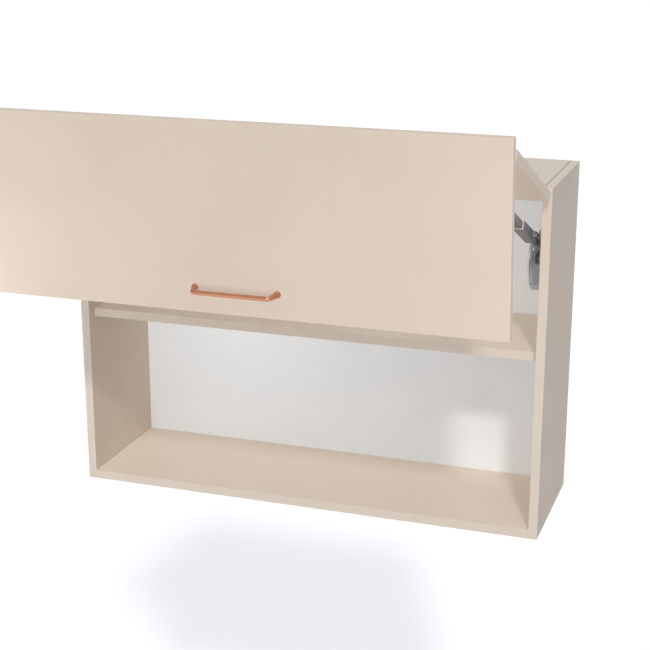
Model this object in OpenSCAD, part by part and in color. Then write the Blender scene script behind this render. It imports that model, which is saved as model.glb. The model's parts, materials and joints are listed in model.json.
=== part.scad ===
// Wall cabinet with a folding lift-up door.
// The carcass hangs on a wall and has one shelf. Two leaves, hinged to each other, close the whole
// front. Two sprung lifts inside the sides swing them up and fold them over the top.
// Millimetres. X runs to the right, Y towards the wall, Z up. The origin is on the wall plane, at
// the middle of the width and level with the underside.

/* [Carcass] */
// width over the sides
body_w = 1000; // [800:10:1200]
// height over the top and bottom
body_h = 715; // [700:5:730]
// depth without the door
body_d = 300; // [280:5:360]
// thickness of the carcass boards
board_t = 18; // [16:0.5:19]
// thickness of the back panel
back_t = 8; // [3:0.5:10]
// void between the back panel and the wall
back_void = 10; // [8:0.5:15]
// height of the underside of the shelf
shelf_z = 367; // [340:1:380]
// distance of the shelf behind the front edges
shelf_inset = 24; // [22:1:60]
// thickness of the front edge bands
band_t = 1; // [0.4:0.1:2]

/* [Door] */
// how far the door is lifted: 1 is fully up, as built, and 0 is shut
lifted = 1; // [0:0.05:1]
// thickness of the door leaves
leaf_t = 18; // [17.5:0.5:20]
// gap between the shut door and the carcass
door_gap = 2; // [1.5:0.1:2.5]
// how far the sides show beyond the leaves
side_reveal = 1.5; // [0.5:0.5:3]
// height of the lower leaf's bottom edge
door_foot = 1.5; // [0.5:0.5:3]
// how far the top shows above the upper leaf
top_reveal = 1; // [0.5:0.5:2]
// gap between the two leaves
leaf_gap = 4; // [3.5:0.1:4.5]
// angle that the upper leaf opens
top_open = 112.5; // [108:0.5:112.5]
// angle that the lower leaf folds under the upper one
fold_open = 117.3; // [112:0.1:117.3]
// distance of the outer hinges from the middle
hinge_span = 370; // [200:10:370]

/* [Handle] */
// distance between the screws
handle_pitch = 160; // [96:32:320]
// height of the screws above the bottom edge of the leaf
handle_rise = 48; // [30:1:70]
// distance of the bar's centre from the door
handle_out = 27; // [24:1:40]
// how far each leg leans in
handle_lean = 7; // [0:1:10]
// diameter of the bar
handle_bar = 9; // [8:0.5:12]

/* [Lift] */
// distance of the arm's pivot behind the front edges
lift_in = 33; // [32:0.5:36]
// distance of the arm's door pin from the leaf
pin_out = 30; // [29:0.5:32]
// distance of that pin below the top of the lower leaf
pin_drop = 135; // [130:1:140]
// distance of the roller from the pivot when the door is shut
cam_shut = 34; // [30:0.5:35]
// the same when the door is up
cam_up = 21; // [20:0.5:24]
// radius of the roller
roller_r = 6; // [5:0.5:6.5]
// radius of the springs, to the middle of the wire
spring_r = 5.9; // [5:0.1:6.2]
// radius of the spring wire
wire_r = 1.1; // [0.8:0.1:1.3]

/* [Fits] */
// radial clearance of a turning or sliding fit
run = 0.05; // [0.03:0.01:0.1]
// radial clearance of a fixed pin, plug or screw in its hole
seat = 0.05; // [0.03:0.01:0.1]
// least gap between the faces of a loose pivot
loose = 0.35; // [0.3:0.05:0.5]

/* [Hidden] */
$fn = 48;
half_w = body_w / 2 - board_t;
under_top = body_h - board_t;
leaf_w = body_w - 2 * side_reveal;
leaf_h = (body_h - top_reveal - door_foot - leaf_gap) / 2;
lower_top = door_foot + leaf_h;
upper_foot = lower_top + leaf_gap;
panel_y = body_d - back_void - back_t;
groove = 8;
hinge_at = [-hinge_span, 0, hinge_span];
both = [-1, 1];

// the two axes that the leaves turn about, as [y behind the front, z], with the door shut
top_axis = [-door_gap - 13, body_h - 7.6];
fold_axis = [-door_gap - 12, lower_top - 19.75];

// hinge cups, and the pins of their links
cup_r = 17.5;
cup_deep = 13.5;
cup_top_z = body_h - 22;
cup_mid_z = lower_top - 22.25;
link_w = 6;
hinge_pin_r = 1.25;
top_cup_pin = [-door_gap - 7.5, body_h - 8.2];
top_arm_pin = [5.5, body_h - 42.5];
top_bend = [-door_gap - 11.25, body_h - 16.25];
top_link_turn = top_open + 14.6;
mid_cup_pin = [-door_gap - 7, lower_top - 19.45];
mid_arm_pin = [7 - door_gap, lower_top + 13.25];
mid_bend = [-door_gap - 2.5, lower_top - 15.25];
mid_link_turn = fold_open + 14.3;

function rot2(p, a) = [p[0] * cos(a) - p[1] * sin(a), p[0] * sin(a) + p[1] * cos(a)];
function turn(p, c, a) = c + rot2(p - c, a);
function bearing(v) = atan2(v[1], v[0]);
function wrap(a) = a > 180 ? a - 360 : a < -180 ? a + 360 : a;
function unit(v) = v / norm(v);
function upper_pt(p, s) = turn(p, top_axis, -top_open * s);
function lower_pt(p, s) = upper_pt(turn(p, fold_axis, fold_open * s), s);

// middle of a path's bounding box, and the path's reach from a point
function middle(p) = [for (k = [0, 1]) (max([for (q = p) q[k]]) + min([for (q = p) q[k]])) / 2];
function reach(p, c) = max([for (q = p) norm(q - c)]);

// rounds the corners of an outline whose entries are [y, z, radius]
function soft(p) = [for (i = [0 : len(p) - 1])
    let (a = p[(i + len(p) - 1) % len(p)], b = p[i], c = p[(i + 1) % len(p)], at = [b[0], b[1]],
        u = unit([a[0], a[1]] - at), v = unit([c[0], c[1]] - at), half = acos(u * v) / 2,
        o = at + unit(u + v) * b[2] / sin(half), from = bearing(at + u * b[2] / tan(half) - o),
        sweep = wrap(bearing(at + v * b[2] / tan(half) - o) - from))
    for (k = [0 : 5]) o + b[2] * [cos(from + sweep * k / 5), sin(from + sweep * k / 5)]];

// the points of an open path moved t to its right, from the last to the first
function inner_path(p, t) = [for (i = [len(p) - 1 : -1 : 0])
    let (a = unit(p[max(i, 1)] - p[max(i, 1) - 1]), b = unit(p[min(i + 1, len(p) - 1)] - p[min(i, len(p) - 2)]),
        side = unit([a[1] + b[1], -a[0] - b[0]]))
    p[i] + side * t / (side * [a[1], -a[0]])];

// the lift's pivot lies where one arm length serves the shut and the lifted door
steps = [for (k = [0 : 8]) k / 8];
pin_shut = [pin_out - door_gap, lower_top - pin_drop];
pin_up = lower_pt(pin_shut, 1);
pin_mid = (pin_shut + pin_up) / 2;
pin_cross = [pin_shut[1] - pin_up[1], pin_up[0] - pin_shut[0]];
hub = pin_mid + pin_cross * (lift_in - pin_mid[0]) / pin_cross[0];
arm_len = norm(pin_shut - hub);
arm_from = bearing(pin_shut - hub);
arm_turn = wrap(bearing(pin_up - hub) - arm_from);
function arm_angle(s) = arm_from + arm_turn * s;
arm_path = [for (s = steps) rot2(lower_pt(pin_shut, s) - hub, -arm_angle(s))];
arm_eye = middle(arm_path);
pin_r = 2.5;
arm_eye_r = reach(arm_path, arm_eye) + pin_r + loose;

// the links' eyes leave room for their arm pins
top_path = [for (s = steps) turn(turn(top_arm_pin, top_axis, top_open * s), top_cup_pin, -top_link_turn * s)];
top_eye = middle(top_path);
top_eye_r = reach(top_path, top_eye) + hinge_pin_r + 0.15;
mid_path = [for (s = steps) turn(turn(mid_arm_pin, fold_axis, -fold_open * s), mid_cup_pin, mid_link_turn * s)];
mid_eye = middle(mid_path);
mid_eye_r = reach(mid_path, mid_eye) + hinge_pin_r + 0.15;

// the lift: across the cabinet from the side, and along the slide from the pivot
slide_slope = -28;
slide_x = 14;
station = cam_shut + (cam_up - cam_shut) * lifted;
crosshead = 8;
crosshead_t = 5;
seat_at = 96;
spring_gap = 9;
hub_pin_r = 4;
rod_r = 2.5;
rod_len = 72;
curls = 8;
lift_screws_at = [[45, -0.9], [125, -0.9], [125, -83.9], [45, -83.9]];
case_path = [[33, 8.4], [138.3, 8.4], [138.3, -93.2], [39.4, -93.2], [19.6, -70.7], [12.6, -35]];

// the cam keeps the roller's centre on a spiral while the arm turns
cam_from = wrap(slide_slope - arm_angle(0));
cam_rate = (cam_up - cam_shut) / abs(arm_turn);
function cam_pitch(a) = cam_shut + cam_rate * (a - cam_from);
function cam_pt(a) = let (r = cam_pitch(a), d = cam_rate * 180 / PI,
    out = unit([r * cos(a) + d * sin(a), r * sin(a) - d * cos(a)]))
    r * [cos(a), sin(a)] - (roller_r + loose) * out;
cam_line = [for (k = [0 : 28]) cam_pt(cam_from - 14 + (abs(arm_turn) + 28) * k / 28)];

// a closed outline in [y, z], drawn out across the cabinet from x0 to x1
module slab(x0, x1) {
    translate([x0, 0, 0]) rotate([90, 0, 90]) linear_extrude(x1 - x0) children();
}

// a round bar across the cabinet
module bar(p, r, x0, x1) {
    translate([x0, p[0], p[1]]) rotate([0, 90, 0]) cylinder(r = r, h = x1 - x0);
}

// a round bar along Y, from y0 to y1
module peg(x, z, r, y0, y1) {
    translate([x, y0, z]) rotate([-90, 0, 0]) cylinder(r = r, h = y1 - y0);
}

// y counts from the front edges of the carcass
module front() {
    translate([0, -body_d, 0]) children();
}

// x counts from the inner face of a side towards the middle
module at_side(side) {
    translate([side * half_w, -body_d, 0]) {
        if (side > 0) mirror([1, 0, 0]) children();
        else children();
    }
}

module about(p, a) {
    translate([0, p[0], p[1]]) rotate([a, 0, 0]) translate([0, -p[0], -p[1]]) children();
}

module upper_pose() {
    about(top_axis, -top_open * lifted) children();
}

module lower_pose() {
    upper_pose() about(fold_axis, fold_open * lifted) children();
}

// y runs along the arm from its pivot, and z away from the door
module arm_pose() {
    translate([0, hub[0], hub[1]]) rotate([arm_angle(lifted), 0, 0]) children();
}

// y runs along the slide from the pivot
module slide_pose() {
    translate([0, hub[0], hub[1]]) rotate([slide_slope, 0, 0]) children();
}

module box(x0, x1, y0, y1, z0, z1) {
    translate([x0, y0, z0]) cube([x1 - x0, y1 - y0, z1 - z0]);
}

// ---- carcass ----

dowel_y = [40, body_d / 2, body_d - 40];
dowel_z = [board_t / 2, body_h - board_t / 2];
support_y = [shelf_inset + 30, panel_y - 45];
hanger_z = under_top - 30;
hanger_y = panel_y - 26;

module side_panel(side) {
    at_side(side) difference() {
        box(-board_t, 0, band_t, body_d, 0, body_h);
        box(-groove, 1, panel_y - 0.2, panel_y + back_t + 0.2, board_t - groove, under_top + groove);
        for (y = dowel_y, z = dowel_z) bar([y, z], 4 + seat, -12.3, 1);
        for (y = support_y) bar([y, shelf_z - 2.5], 2.5 + seat, -8.3, 1);
        for (p = lift_screws_at) bar(hub + p, 3 + seat, -11.3, 1);
        for (z = [hanger_z - 14, hanger_z + 12]) bar([hanger_y, z], 4 + seat, -9.3, 1);
    }
}

module cross_panel(z, inside) {
    front() difference() {
        box(-half_w, half_w, band_t, body_d, z, z + board_t);
        box(-half_w - 1, half_w + 1, panel_y - 0.2, panel_y + back_t + 0.2,
            inside > 0 ? z + board_t - groove : z - 1, inside > 0 ? z + board_t + 1 : z + groove);
        for (side = both, y = dowel_y) bar([y, z + board_t / 2], 4 + seat,
            side > 0 ? half_w - 20.3 : -half_w - 1, side > 0 ? half_w + 1 : 20.3 - half_w);
        if (inside < 0) for (x = hinge_at, dx = [-11, 11]) translate([x + dx, 53, z - 1]) cylinder(r = 1.8, h = 13);
    }
}

module left_side() color("#bcb0a2") side_panel(-1);

module right_side() color("#bcb0a2") side_panel(1);

module top_panel() color("#cfc4b7") cross_panel(under_top, -1);

module bottom_panel() color("#cfc4b7") cross_panel(0, 1);

module back_panel() color("#e0e0dc") front() difference() {
    box(-half_w - groove, half_w + groove, panel_y, panel_y + back_t, board_t - groove, under_top + groove);
    for (side = both) box(side > 0 ? half_w - 30 : -half_w - groove - 1,
        side > 0 ? half_w + groove + 1 : 30 - half_w, panel_y - 1, panel_y + back_t + 1, hanger_z - 27, body_h);
}

module shelf() color("#cfc4b7") front() box(0.5 - half_w, half_w - 0.5, shelf_inset + band_t, panel_y - 2,
    shelf_z, shelf_z + board_t);

module side_edge_bands() color("#ddd0c0") for (side = both) at_side(side) box(-board_t, 0, 0, band_t, 0, body_h);

module board_edge_bands() color("#ddd0c0") front() {
    for (z = [0, under_top]) box(-half_w, half_w, 0, band_t, z, z + board_t);
    box(0.5 - half_w, half_w - 0.5, shelf_inset, shelf_inset + band_t, shelf_z, shelf_z + board_t);
}

module corner_dowels() color("#c9a878") for (side = both, y = dowel_y, z = dowel_z) at_side(side)
    bar([y, z], 4, -12, 20);

module shelf_supports() color("#c4c4c6") for (side = both, y = support_y) at_side(side) {
    bar([y, shelf_z - 2.5], 2.5, -8, 3);
    slab(0, 9) polygon([[y - 5, shelf_z - 6], [y + 5, shelf_z - 6], [y + 5, shelf_z], [y - 5, shelf_z]]);
}

module hanger_bodies() color("#efefec") for (side = both) at_side(side) difference() {
    union() {
        slab(0, 19) polygon(soft([[hanger_y - 22, hanger_z - 26, 4], [panel_y - 0.5, hanger_z - 26, 1],
            [panel_y - 0.5, hanger_z + 26, 1], [hanger_y - 22, hanger_z + 26, 4]]));
        for (z = [hanger_z - 14, hanger_z + 12]) bar([hanger_y, z], 4, -9, 1);
    }
    box(5.8, 16.2, hanger_y - 12.2, panel_y + 1, hanger_z + 0.8, hanger_z + 9.2);
}

module hanger_hooks() color("#c0c2c4") for (side = both) at_side(side) slab(6, 16) difference() {
    polygon([[hanger_y - 12, hanger_z + 1], [body_d - 5, hanger_z + 1], [body_d - 5, hanger_z - 14],
        [body_d - 1.5, hanger_z - 14], [body_d - 1.5, hanger_z + 9], [hanger_y - 12, hanger_z + 9]]);
    translate([hanger_y - 4, hanger_z + 5]) circle(r = 2);
}

// ---- door leaves and handle ----

module leaf_board(z) {
    box(-leaf_w / 2, leaf_w / 2, -door_gap - leaf_t, -door_gap, z, z + leaf_h);
}

module cup_bores(z) {
    for (x = hinge_at) {
        peg(x, z, cup_r + seat, -door_gap - cup_deep - 0.2, 0);
        for (dx = [-22.5, 22.5]) peg(x + dx, z - 9.5, 1.8, -door_gap - 11, 0);
    }
}

module upper_leaf() color("#d9cab9") front() upper_pose() difference() {
    leaf_board(upper_foot);
    cup_bores(cup_top_z);
    for (x = hinge_at, dx = [-10.5, 10.5]) peg(x + dx, upper_foot + 40, 1.8, -door_gap - 11, 0);
}

module lower_leaf() color("#d9cab9") front() lower_pose() difference() {
    leaf_board(door_foot);
    cup_bores(cup_mid_z);
    for (side = both) {
        peg(side * handle_pitch / 2, door_foot + handle_rise, 2.5, -door_gap - leaf_t - 1, 0);
        for (dx = [-4.5, 4.5]) peg(side * (half_w - 27 + dx), pin_shut[1] - 16.5, 1.8, -door_gap - 13, 0);
    }
}

leg_lean = atan2(handle_lean, handle_out);

module handle() color("#c47a58") front() lower_pose() translate([0, -door_gap - leaf_t, door_foot + handle_rise]) {
    difference() {
        union() {
            for (side = both) {
                translate([side * handle_pitch / 2, 0, 0]) rotate([90, 0, -side * leg_lean])
                    translate([0, 0, -4]) cylinder(d1 = handle_bar + 3, d2 = handle_bar,
                        h = 4 + norm([handle_lean, handle_out]));
                translate([side * (handle_pitch / 2 - handle_lean), -handle_out, 0]) sphere(d = handle_bar + 0.8);
            }
            bar([-handle_out, 0], handle_bar / 2, handle_lean - handle_pitch / 2, handle_pitch / 2 - handle_lean);
        }
        box(-handle_pitch, handle_pitch, 0, 20, -20, 20);
        for (side = both) peg(side * handle_pitch / 2, 0, 2 + seat, -8.5, 1);
    }
}

module handle_screws() color("#c4c4c6") front() lower_pose() for (side = both)
    translate([side * handle_pitch / 2, -door_gap, door_foot + handle_rise]) {
        peg(0, 0, 2, -leaf_t - 8, 0.5);
        peg(0, 0, 4, 0, 2.2);
    }

// ---- hinges ----

module hinge_cup(z, pin, slot, z0, z1) {
    difference() {
        union() {
            peg(0, z, cup_r, -door_gap - cup_deep, 1 - door_gap);
            peg(0, z, cup_r + 0.4, -door_gap, 1 - door_gap);
            translate([0, 1 - door_gap, 0]) rotate([90, 0, 0]) linear_extrude(1)
                polygon(soft([[-27.5, z - 15, 3], [27.5, z - 15, 3], [27.5, z - 4, 3], [-27.5, z - 4, 3]]));
        }
        box(-link_w / 2 - 1, link_w / 2 + 1, -door_gap - 12.8, 2, z - slot, z + 20);
        box(-10, 10, -door_gap - 12.8, 2, z0, z1);
        bar(pin, hinge_pin_r + seat, -8.2, 8.2);
        for (dx = [-22.5, 22.5]) peg(dx, z - 9.5, 1.9, -door_gap - 1, 2);
    }
}

module cup_pin(pin) {
    bar(pin, hinge_pin_r, -8, 8);
}

module cup_screw_pair(z) {
    for (dx = [-22.5, 22.5]) {
        peg(dx, z - 9.5, 1.75, -door_gap - 10.5, 1.5 - door_gap);
        peg(dx, z - 9.5, 3.2, 1 - door_gap, 2.4 - door_gap);
    }
}

// a straight bar of the link's flat, between two points
module flat(a, b, t) {
    translate(a) rotate(bearing(b - a)) translate([0, -t]) square([norm(b - a), 2 * t]);
}

module hinge_link(pin, bend, eye, eye_r, t) {
    difference() {
        slab(-link_w / 2, link_w / 2) {
            flat(pin, bend, t);
            flat(bend, eye, t);
            translate(pin) circle(r = 2.1);
            translate(bend) circle(r = t);
            translate(eye) circle(r = eye_r + 1.2);
        }
        bar(pin, hinge_pin_r + run, -link_w, link_w);
        bar(eye, eye_r, -link_w, link_w);
    }
}

// the two cheeks that hold an arm pin
module arm_cheeks(pin, outline) {
    for (x = both) slab(x > 0 ? link_w / 2 + 0.4 : -link_w / 2 - 2.4, x > 0 ? link_w / 2 + 2.4 : -link_w / 2 - 0.4)
        difference() {
            union() {
                translate(pin) circle(r = 3.5);
                polygon(outline);
            }
            translate(pin) circle(r = hinge_pin_r + seat);
        }
}

module arm_pin(pin) {
    bar(pin, hinge_pin_r, -link_w / 2 - 2.9, link_w / 2 + 2.9);
    for (x = both) bar(pin, 2.1, x > 0 ? link_w / 2 + 2.4 : -link_w / 2 - 3.2,
        x > 0 ? link_w / 2 + 3.2 : -link_w / 2 - 2.4);
}

module top_hinge_cups() color("#c3c5c8") front() upper_pose() for (x = hinge_at) translate([x, 0, 0])
    hinge_cup(cup_top_z, top_cup_pin, 16.6, cup_top_z - 13, cup_top_z + 9);

module top_cup_pins() color("#9c9ea2") front() upper_pose() for (x = hinge_at) translate([x, 0, 0])
    cup_pin(top_cup_pin);

module top_cup_screws() color("#c4c4c6") front() upper_pose() for (x = hinge_at) translate([x, 0, 0])
    cup_screw_pair(cup_top_z);

module top_hinge_links() color("#b4b6ba") front() upper_pose() about(top_cup_pin, top_link_turn * lifted)
    for (x = hinge_at) translate([x, 0, 0]) hinge_link(top_cup_pin, top_bend, top_eye, top_eye_r, 1.1);

module top_hinge_arms() color("#c3c5c8") front() for (x = hinge_at) translate([x, 0, 0]) difference() {
    union() {
        arm_cheeks(top_arm_pin, [top_arm_pin + [-2.2, 2.7], top_arm_pin + [2.8, -2], [26, body_h - 31],
            [76, body_h - 31], [76, under_top - 2], [20, under_top - 2]]);
        slab(-link_w / 2 - 1, link_w / 2 + 1) polygon([[26, body_h - 31], [76, body_h - 31],
            [76, under_top - 2], [22, under_top - 2], [22, body_h - 27]]);
        slab(-15.5, 15.5) polygon([[30, under_top - 2.5], [78, under_top - 2.5], [78, under_top], [30, under_top]]);
    }
    for (dx = [-11, 11]) translate([dx, 53, under_top - 4]) cylinder(r = 1.9, h = 6);
}

module top_hinge_pins() color("#9c9ea2") front() for (x = hinge_at) translate([x, 0, 0]) arm_pin(top_arm_pin);

module top_hinge_screws() color("#c4c4c6") front() for (x = hinge_at, dx = [-11, 11])
    translate([x + dx, 53, under_top]) {
        translate([0, 0, -4.5]) cylinder(r = 3.2, h = 2);
        translate([0, 0, -3.5]) cylinder(r = 1.75, h = 15);
    }

module centre_hinge_cups() color("#c3c5c8") front() lower_pose() for (x = hinge_at) translate([x, 0, 0])
    hinge_cup(cup_mid_z, mid_cup_pin, 18.6, cup_mid_z - 14.5, cup_mid_z - 2.5);

module centre_cup_pins() color("#9c9ea2") front() lower_pose() for (x = hinge_at) translate([x, 0, 0])
    cup_pin(mid_cup_pin);

module centre_cup_screws() color("#c4c4c6") front() lower_pose() for (x = hinge_at) translate([x, 0, 0])
    cup_screw_pair(cup_mid_z);

module centre_hinge_links() color("#b4b6ba") front() lower_pose() about(mid_cup_pin, -mid_link_turn * lifted)
    for (x = hinge_at) translate([x, 0, 0]) hinge_link(mid_cup_pin, mid_bend, mid_eye, mid_eye_r, 0.8);

mid_face = -door_gap;

module centre_hinge_arms() color("#c3c5c8") front() upper_pose() for (x = hinge_at) translate([x, 0, 0])
    difference() {
        union() {
            arm_cheeks(mid_arm_pin, [mid_arm_pin + [-3.2, 1.4], mid_arm_pin + [3.2, -1.4],
                [mid_face + 11, upper_foot + 22], [mid_face + 9, upper_foot + 60], [mid_face + 1, upper_foot + 60],
                [mid_face + 1, upper_foot + 18]]);
            slab(-link_w / 2 - 1, link_w / 2 + 1) polygon([[mid_face + 1, upper_foot + 18],
                [mid_face + 6, upper_foot + 20], [mid_face + 11, upper_foot + 22],
                [mid_face + 9, upper_foot + 60], [mid_face + 1, upper_foot + 60]]);
            slab(-14.5, 14.5) polygon([[mid_face, upper_foot + 20], [mid_face + 2, upper_foot + 20],
                [mid_face + 2, upper_foot + 62], [mid_face, upper_foot + 62]]);
        }
        for (dx = [-10.5, 10.5]) peg(dx, upper_foot + 40, 1.9, mid_face - 1, mid_face + 3);
    }

module centre_hinge_pins() color("#9c9ea2") front() upper_pose() for (x = hinge_at) translate([x, 0, 0])
    arm_pin(mid_arm_pin);

module centre_hinge_screws() color("#c4c4c6") front() upper_pose() for (x = hinge_at, dx = [-10.5, 10.5]) {
    peg(x + dx, upper_foot + 40, 1.75, mid_face - 10.5, mid_face + 3);
    peg(x + dx, upper_foot + 40, 3.2, mid_face + 2, mid_face + 3.8);
}

// ---- lifts ----

module lift_plate(side) {
    at_side(side) difference() {
        union() {
            slab(0, 3) {
                polygon([for (p = case_path) hub + p]);
                polygon([hub + [-9, -20], hub + case_path[5], hub + case_path[0], hub + [9, 20]]);
                translate(hub) circle(r = 22);
            }
            bar(hub, 9, 2, 10.5);
            slide_pose() box(2, 22, 120, 128, -5, 5);
        }
        bar(hub, hub_pin_r + seat, -1, 12);
        slide_pose() peg(slide_x, 0, 3 + seat, 119, 129);
        for (p = lift_screws_at) bar(hub + p, 3 + seat, -1, 4);
    }
}

module lift_cover(side) {
    at_side(side) {
        slab(3, 28) translate(hub) polygon(concat(case_path, inner_path(case_path, 2)));
        slab(27, 30) translate(hub) polygon(soft([[57, 9.1, 10], [13, 1.1, 20], [-5, -34.9, 30], [17, -78.9, 20],
            [47, -93.9, 10], [139, -93.9, 8], [139, 9.1, 8]]));
    }
}

module lever(side) {
    at_side(side) arm_pose() difference() {
        slab(11, 17) {
            circle(r = 11);
            polygon(concat([[0, 0]], cam_line));
            polygon(soft([[-6, -26, 2], [46, -26, 5], [46, -13, 5], [14, -4, 4], [-8, -4, 1]]));
        }
        bar([0, 0], hub_pin_r + run, 10, 18);
        for (y = [9, 36]) bar([y, -18.5], 2 + seat, 10, 18);
    }
}

module arm_channel(side) {
    at_side(side) arm_pose() difference() {
        union() {
            box(17, 37, -6, 138, -12, -9.5);
            for (x = [17, 34.5]) box(x, x + 2.5, -6, 138, -27.5, -9.5);
            for (x = [17, 32.5]) box(x, x + 4.5, -6, 138, -27.5, -26);
        }
        for (y = [9, 36]) bar([y, -18.5], 2 + seat, 16, 20);
    }
}

module arm_rivets(side) {
    at_side(side) arm_pose() for (y = [9, 36]) {
        bar([y, -18.5], 2, 10.5, 20);
        bar([y, -18.5], 3.4, 9.7, 11);
        bar([y, -18.5], 3.4, 19.5, 20.8);
    }
}

module arm_rail(side) {
    at_side(side) arm_pose() difference() {
        box(19.7, 34.3, 45, arm_len - 14, -25.6, -12);
        box(21.7, 32.3, 44, arm_len - 13, -23.6, -14);
    }
}

module arm_end(side) {
    at_side(side) arm_pose() difference() {
        union() {
            box(21.9, 32.1, arm_len - 44, arm_len - 12, -23.4, -14.2);
            slab(20, 34) polygon([[arm_len - 14, -25.6], [arm_len + 5, -25.6], [arm_len + 7, -22],
                arm_eye + [arm_eye_r + 3, 0], arm_eye + [-arm_eye_r - 3, 0], [arm_len - 14, -12]]);
            bar(arm_eye, arm_eye_r + 3.2, 20, 34);
        }
        bar(arm_eye, arm_eye_r, 19, 35);
    }
}

module slide(side) {
    at_side(side) slide_pose() {
        box(7, 21, station + crosshead, station + crosshead + crosshead_t, -16.5, 16.5);
        for (x = [7.5, 17.6]) {
            bar([station, 0], 5, x, x + 2.9);
            box(x, x + 2.9, station, station + crosshead + 1, -5, 5);
        }
        bar([station, 0], 2, 8, 20);
        for (z = both) peg(slide_x, z * spring_gap, rod_r, station + crosshead + 1,
            station + crosshead + crosshead_t + rod_len);
    }
}

module roller(side) {
    at_side(side) slide_pose() difference() {
        bar([station, 0], roller_r, 10.8, 17.2);
        bar([station, 0], 2 + run, 10, 18);
    }
}

// a wound spring along Y, from y0 to y1
rings = 8 * curls;
function coil_ring(k, y0, y1) = let (a = 45 * k, y = y0 + (y1 - y0) * k / rings)
    [for (j = [0 : 5]) let (r = spring_r + wire_r * cos(60 * j))
        [r * cos(a), y + wire_r * sin(60 * j), r * sin(a)]];

module coil(y0, y1) {
    polyhedron(points = [for (k = [0 : rings]) each coil_ring(k, y0, y1)],
        faces = concat([[0, 1, 2, 3, 4, 5]], [[for (j = [5 : -1 : 0]) 6 * rings + j]],
            [for (k = [0 : rings - 1], j = [0 : 5]) let (a = 6 * k + j, b = 6 * k + (j + 1) % 6) each
                [[a, a + 6, b], [b, a + 6, b + 6]]]));
}

spring_from = station + crosshead + crosshead_t + wire_r + 0.1;
spring_to = seat_at - wire_r - 0.1;
coil_line = [for (k = [0 : rings]) [spring_r * cos(45 * k), spring_from + (spring_to - spring_from) * k / rings,
    spring_r * sin(45 * k)]];
coil_gap = min([for (i = [0 : rings - 4], j = [i + 4 : rings]) norm(coil_line[i] - coil_line[j])]) - 2 * wire_r;
echo(str("least gap of a spring to itself: ", coil_gap, " mm"));

module springs(side) {
    at_side(side) slide_pose() for (z = both) translate([slide_x, 0, z * spring_gap]) coil(spring_from, spring_to);
}

module left_lift_plate() color("#8a8c8e") lift_plate(-1);

module right_lift_plate() color("#8a8c8e") lift_plate(1);

module left_lift_cover() color("#a5a8a5") lift_cover(-1);

module right_lift_cover() color("#a5a8a5") lift_cover(1);

module lift_pivot_pins() color("#c4c4c6") for (side = both) at_side(side) {
    bar(hub, hub_pin_r, 0.5, 18);
    bar(hub, 6, 17.3, 19.8);
}

module lift_screws() color("#c4c4c6") for (side = both, p = lift_screws_at) at_side(side) {
    bar(hub + p, 3, -11, 4);
    bar(hub + p, 4.5, 3, 5);
}

module spring_seats() color("#8a8c8e") for (side = both) at_side(side) slide_pose() difference() {
    box(3, 22, seat_at, seat_at + 4, -18, 18);
    for (z = both) peg(slide_x, z * spring_gap, rod_r + run, seat_at - 1, seat_at + 5);
}

module lift_force_screws() color("#c4c4c6") for (side = both) at_side(side) slide_pose() {
    peg(slide_x, 0, 3, seat_at + 4, 140);
    peg(slide_x, 0, 5, 138, 142);
}

module left_lift_slide() color("#77797b") slide(-1);

module right_lift_slide() color("#77797b") slide(1);

module left_lift_springs() color("#9a9c9e") springs(-1);

module right_lift_springs() color("#9a9c9e") springs(1);

module left_cam_roller() color("#c4c4c6") roller(-1);

module right_cam_roller() color("#c4c4c6") roller(1);

module left_lift_lever() color("#6b6f70") lever(-1);

module right_lift_lever() color("#6b6f70") lever(1);

module left_arm_channel() color("#646969") arm_channel(-1);

module right_arm_channel() color("#646969") arm_channel(1);

module left_arm_rivets() color("#c4c4c6") arm_rivets(-1);

module right_arm_rivets() color("#c4c4c6") arm_rivets(1);

module left_arm_rail() color("#c3c5cb") arm_rail(-1);

module right_arm_rail() color("#c3c5cb") arm_rail(1);

module left_arm_end() color("#46494b") arm_end(-1);

module right_arm_end() color("#46494b") arm_end(1);

module arm_brackets() color("#9fa1a3") front() lower_pose() for (side = both) translate([side * half_w, 0, 0])
    mirror([side > 0 ? 1 : 0, 0, 0]) difference() {
        union() {
            slab(13, 41) polygon([[-door_gap, pin_shut[1] - 22.5], [2.5 - door_gap, pin_shut[1] - 22.5],
                [2.5 - door_gap, pin_shut[1] + 19], [-door_gap, pin_shut[1] + 19]]);
            for (x = [15.5, 36]) slab(x, x + 2.5) {
                translate(pin_shut) circle(r = 6.5);
                polygon([[1 - door_gap, pin_shut[1] - 18], [pin_shut[0] + 1.2, pin_shut[1] - 6.4],
                    [pin_shut[0] + 1.2, pin_shut[1] + 6.4], [1 - door_gap, pin_shut[1] + 18]]);
            }
        }
        bar(pin_shut, pin_r + seat, 12, 42);
        for (dx = [22.5, 31.5]) peg(dx, pin_shut[1] - 16.5, 1.9, -door_gap - 1, 4);
    }

module arm_bracket_pins() color("#c4c4c6") front() lower_pose() for (side = both) translate([side * half_w, 0, 0])
    mirror([side > 0 ? 1 : 0, 0, 0]) {
        bar(pin_shut, pin_r, 14.5, 39.5);
        for (x = [14.2, 38.5]) bar(pin_shut, 4.2, x, x + 1.3);
    }

module arm_bracket_screws() color("#c4c4c6") front() lower_pose() for (side = both, dx = [22.5, 31.5]) {
    peg(side * (half_w - dx), pin_shut[1] - 16.5, 1.75, -door_gap - 12.5, 3.4 - door_gap);
    peg(side * (half_w - dx), pin_shut[1] - 16.5, 3.4, 2.5 - door_gap, 4.3 - door_gap);
}

// ---- pieces ----

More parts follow.
